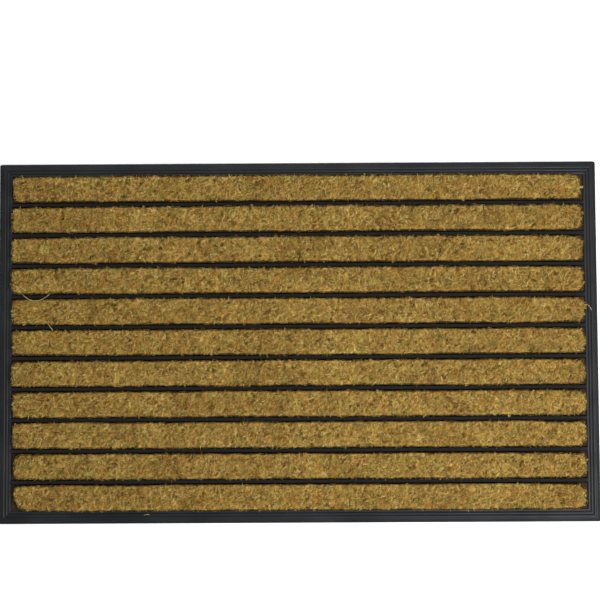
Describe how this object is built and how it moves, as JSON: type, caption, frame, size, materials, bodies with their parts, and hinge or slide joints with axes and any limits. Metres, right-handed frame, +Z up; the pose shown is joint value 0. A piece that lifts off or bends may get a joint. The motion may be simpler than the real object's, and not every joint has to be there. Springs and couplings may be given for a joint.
{
  "type": "door mat",
  "caption": "Rectangular door mat: a black moulded rubber tray with a ribbed border, and rows of golden-brown coir pile standing between raised rubber ribs.",
  "frame": {"origin": "middle of the underside, on the surface the mat lies on", "axes": "+X along the rows and the mat's length, +Y across the rows towards the back edge, +Z up"},
  "size_m": [0.75, 0.45, 0.016],
  "materials": {
    "moulded_rubber": "matte",
    "backing_vinyl": "matte",
    "coir_fibre": "matte"
  },
  "bodies": {
    "root": {"rubber_tray": "moulded_rubber", "coir_backing_01": "backing_vinyl", "coir_backing_02": "backing_vinyl", "coir_backing_03": "backing_vinyl", "coir_backing_04": "backing_vinyl", "coir_backing_05": "backing_vinyl", "coir_backing_06": "backing_vinyl", "coir_backing_07": "backing_vinyl", "coir_backing_08": "backing_vinyl", "coir_backing_09": "backing_vinyl", "coir_backing_10": "backing_vinyl", "coir_backing_11": "backing_vinyl", "coir_pile_01": "coir_fibre", "coir_pile_02": "coir_fibre", "coir_pile_03": "coir_fibre", "coir_pile_04": "coir_fibre", "coir_pile_05": "coir_fibre", "coir_pile_06": "coir_fibre", "coir_pile_07": "coir_fibre", "coir_pile_08": "coir_fibre", "coir_pile_09": "coir_fibre", "coir_pile_10": "coir_fibre", "coir_pile_11": "coir_fibre"}
  },
  "joints": []
}
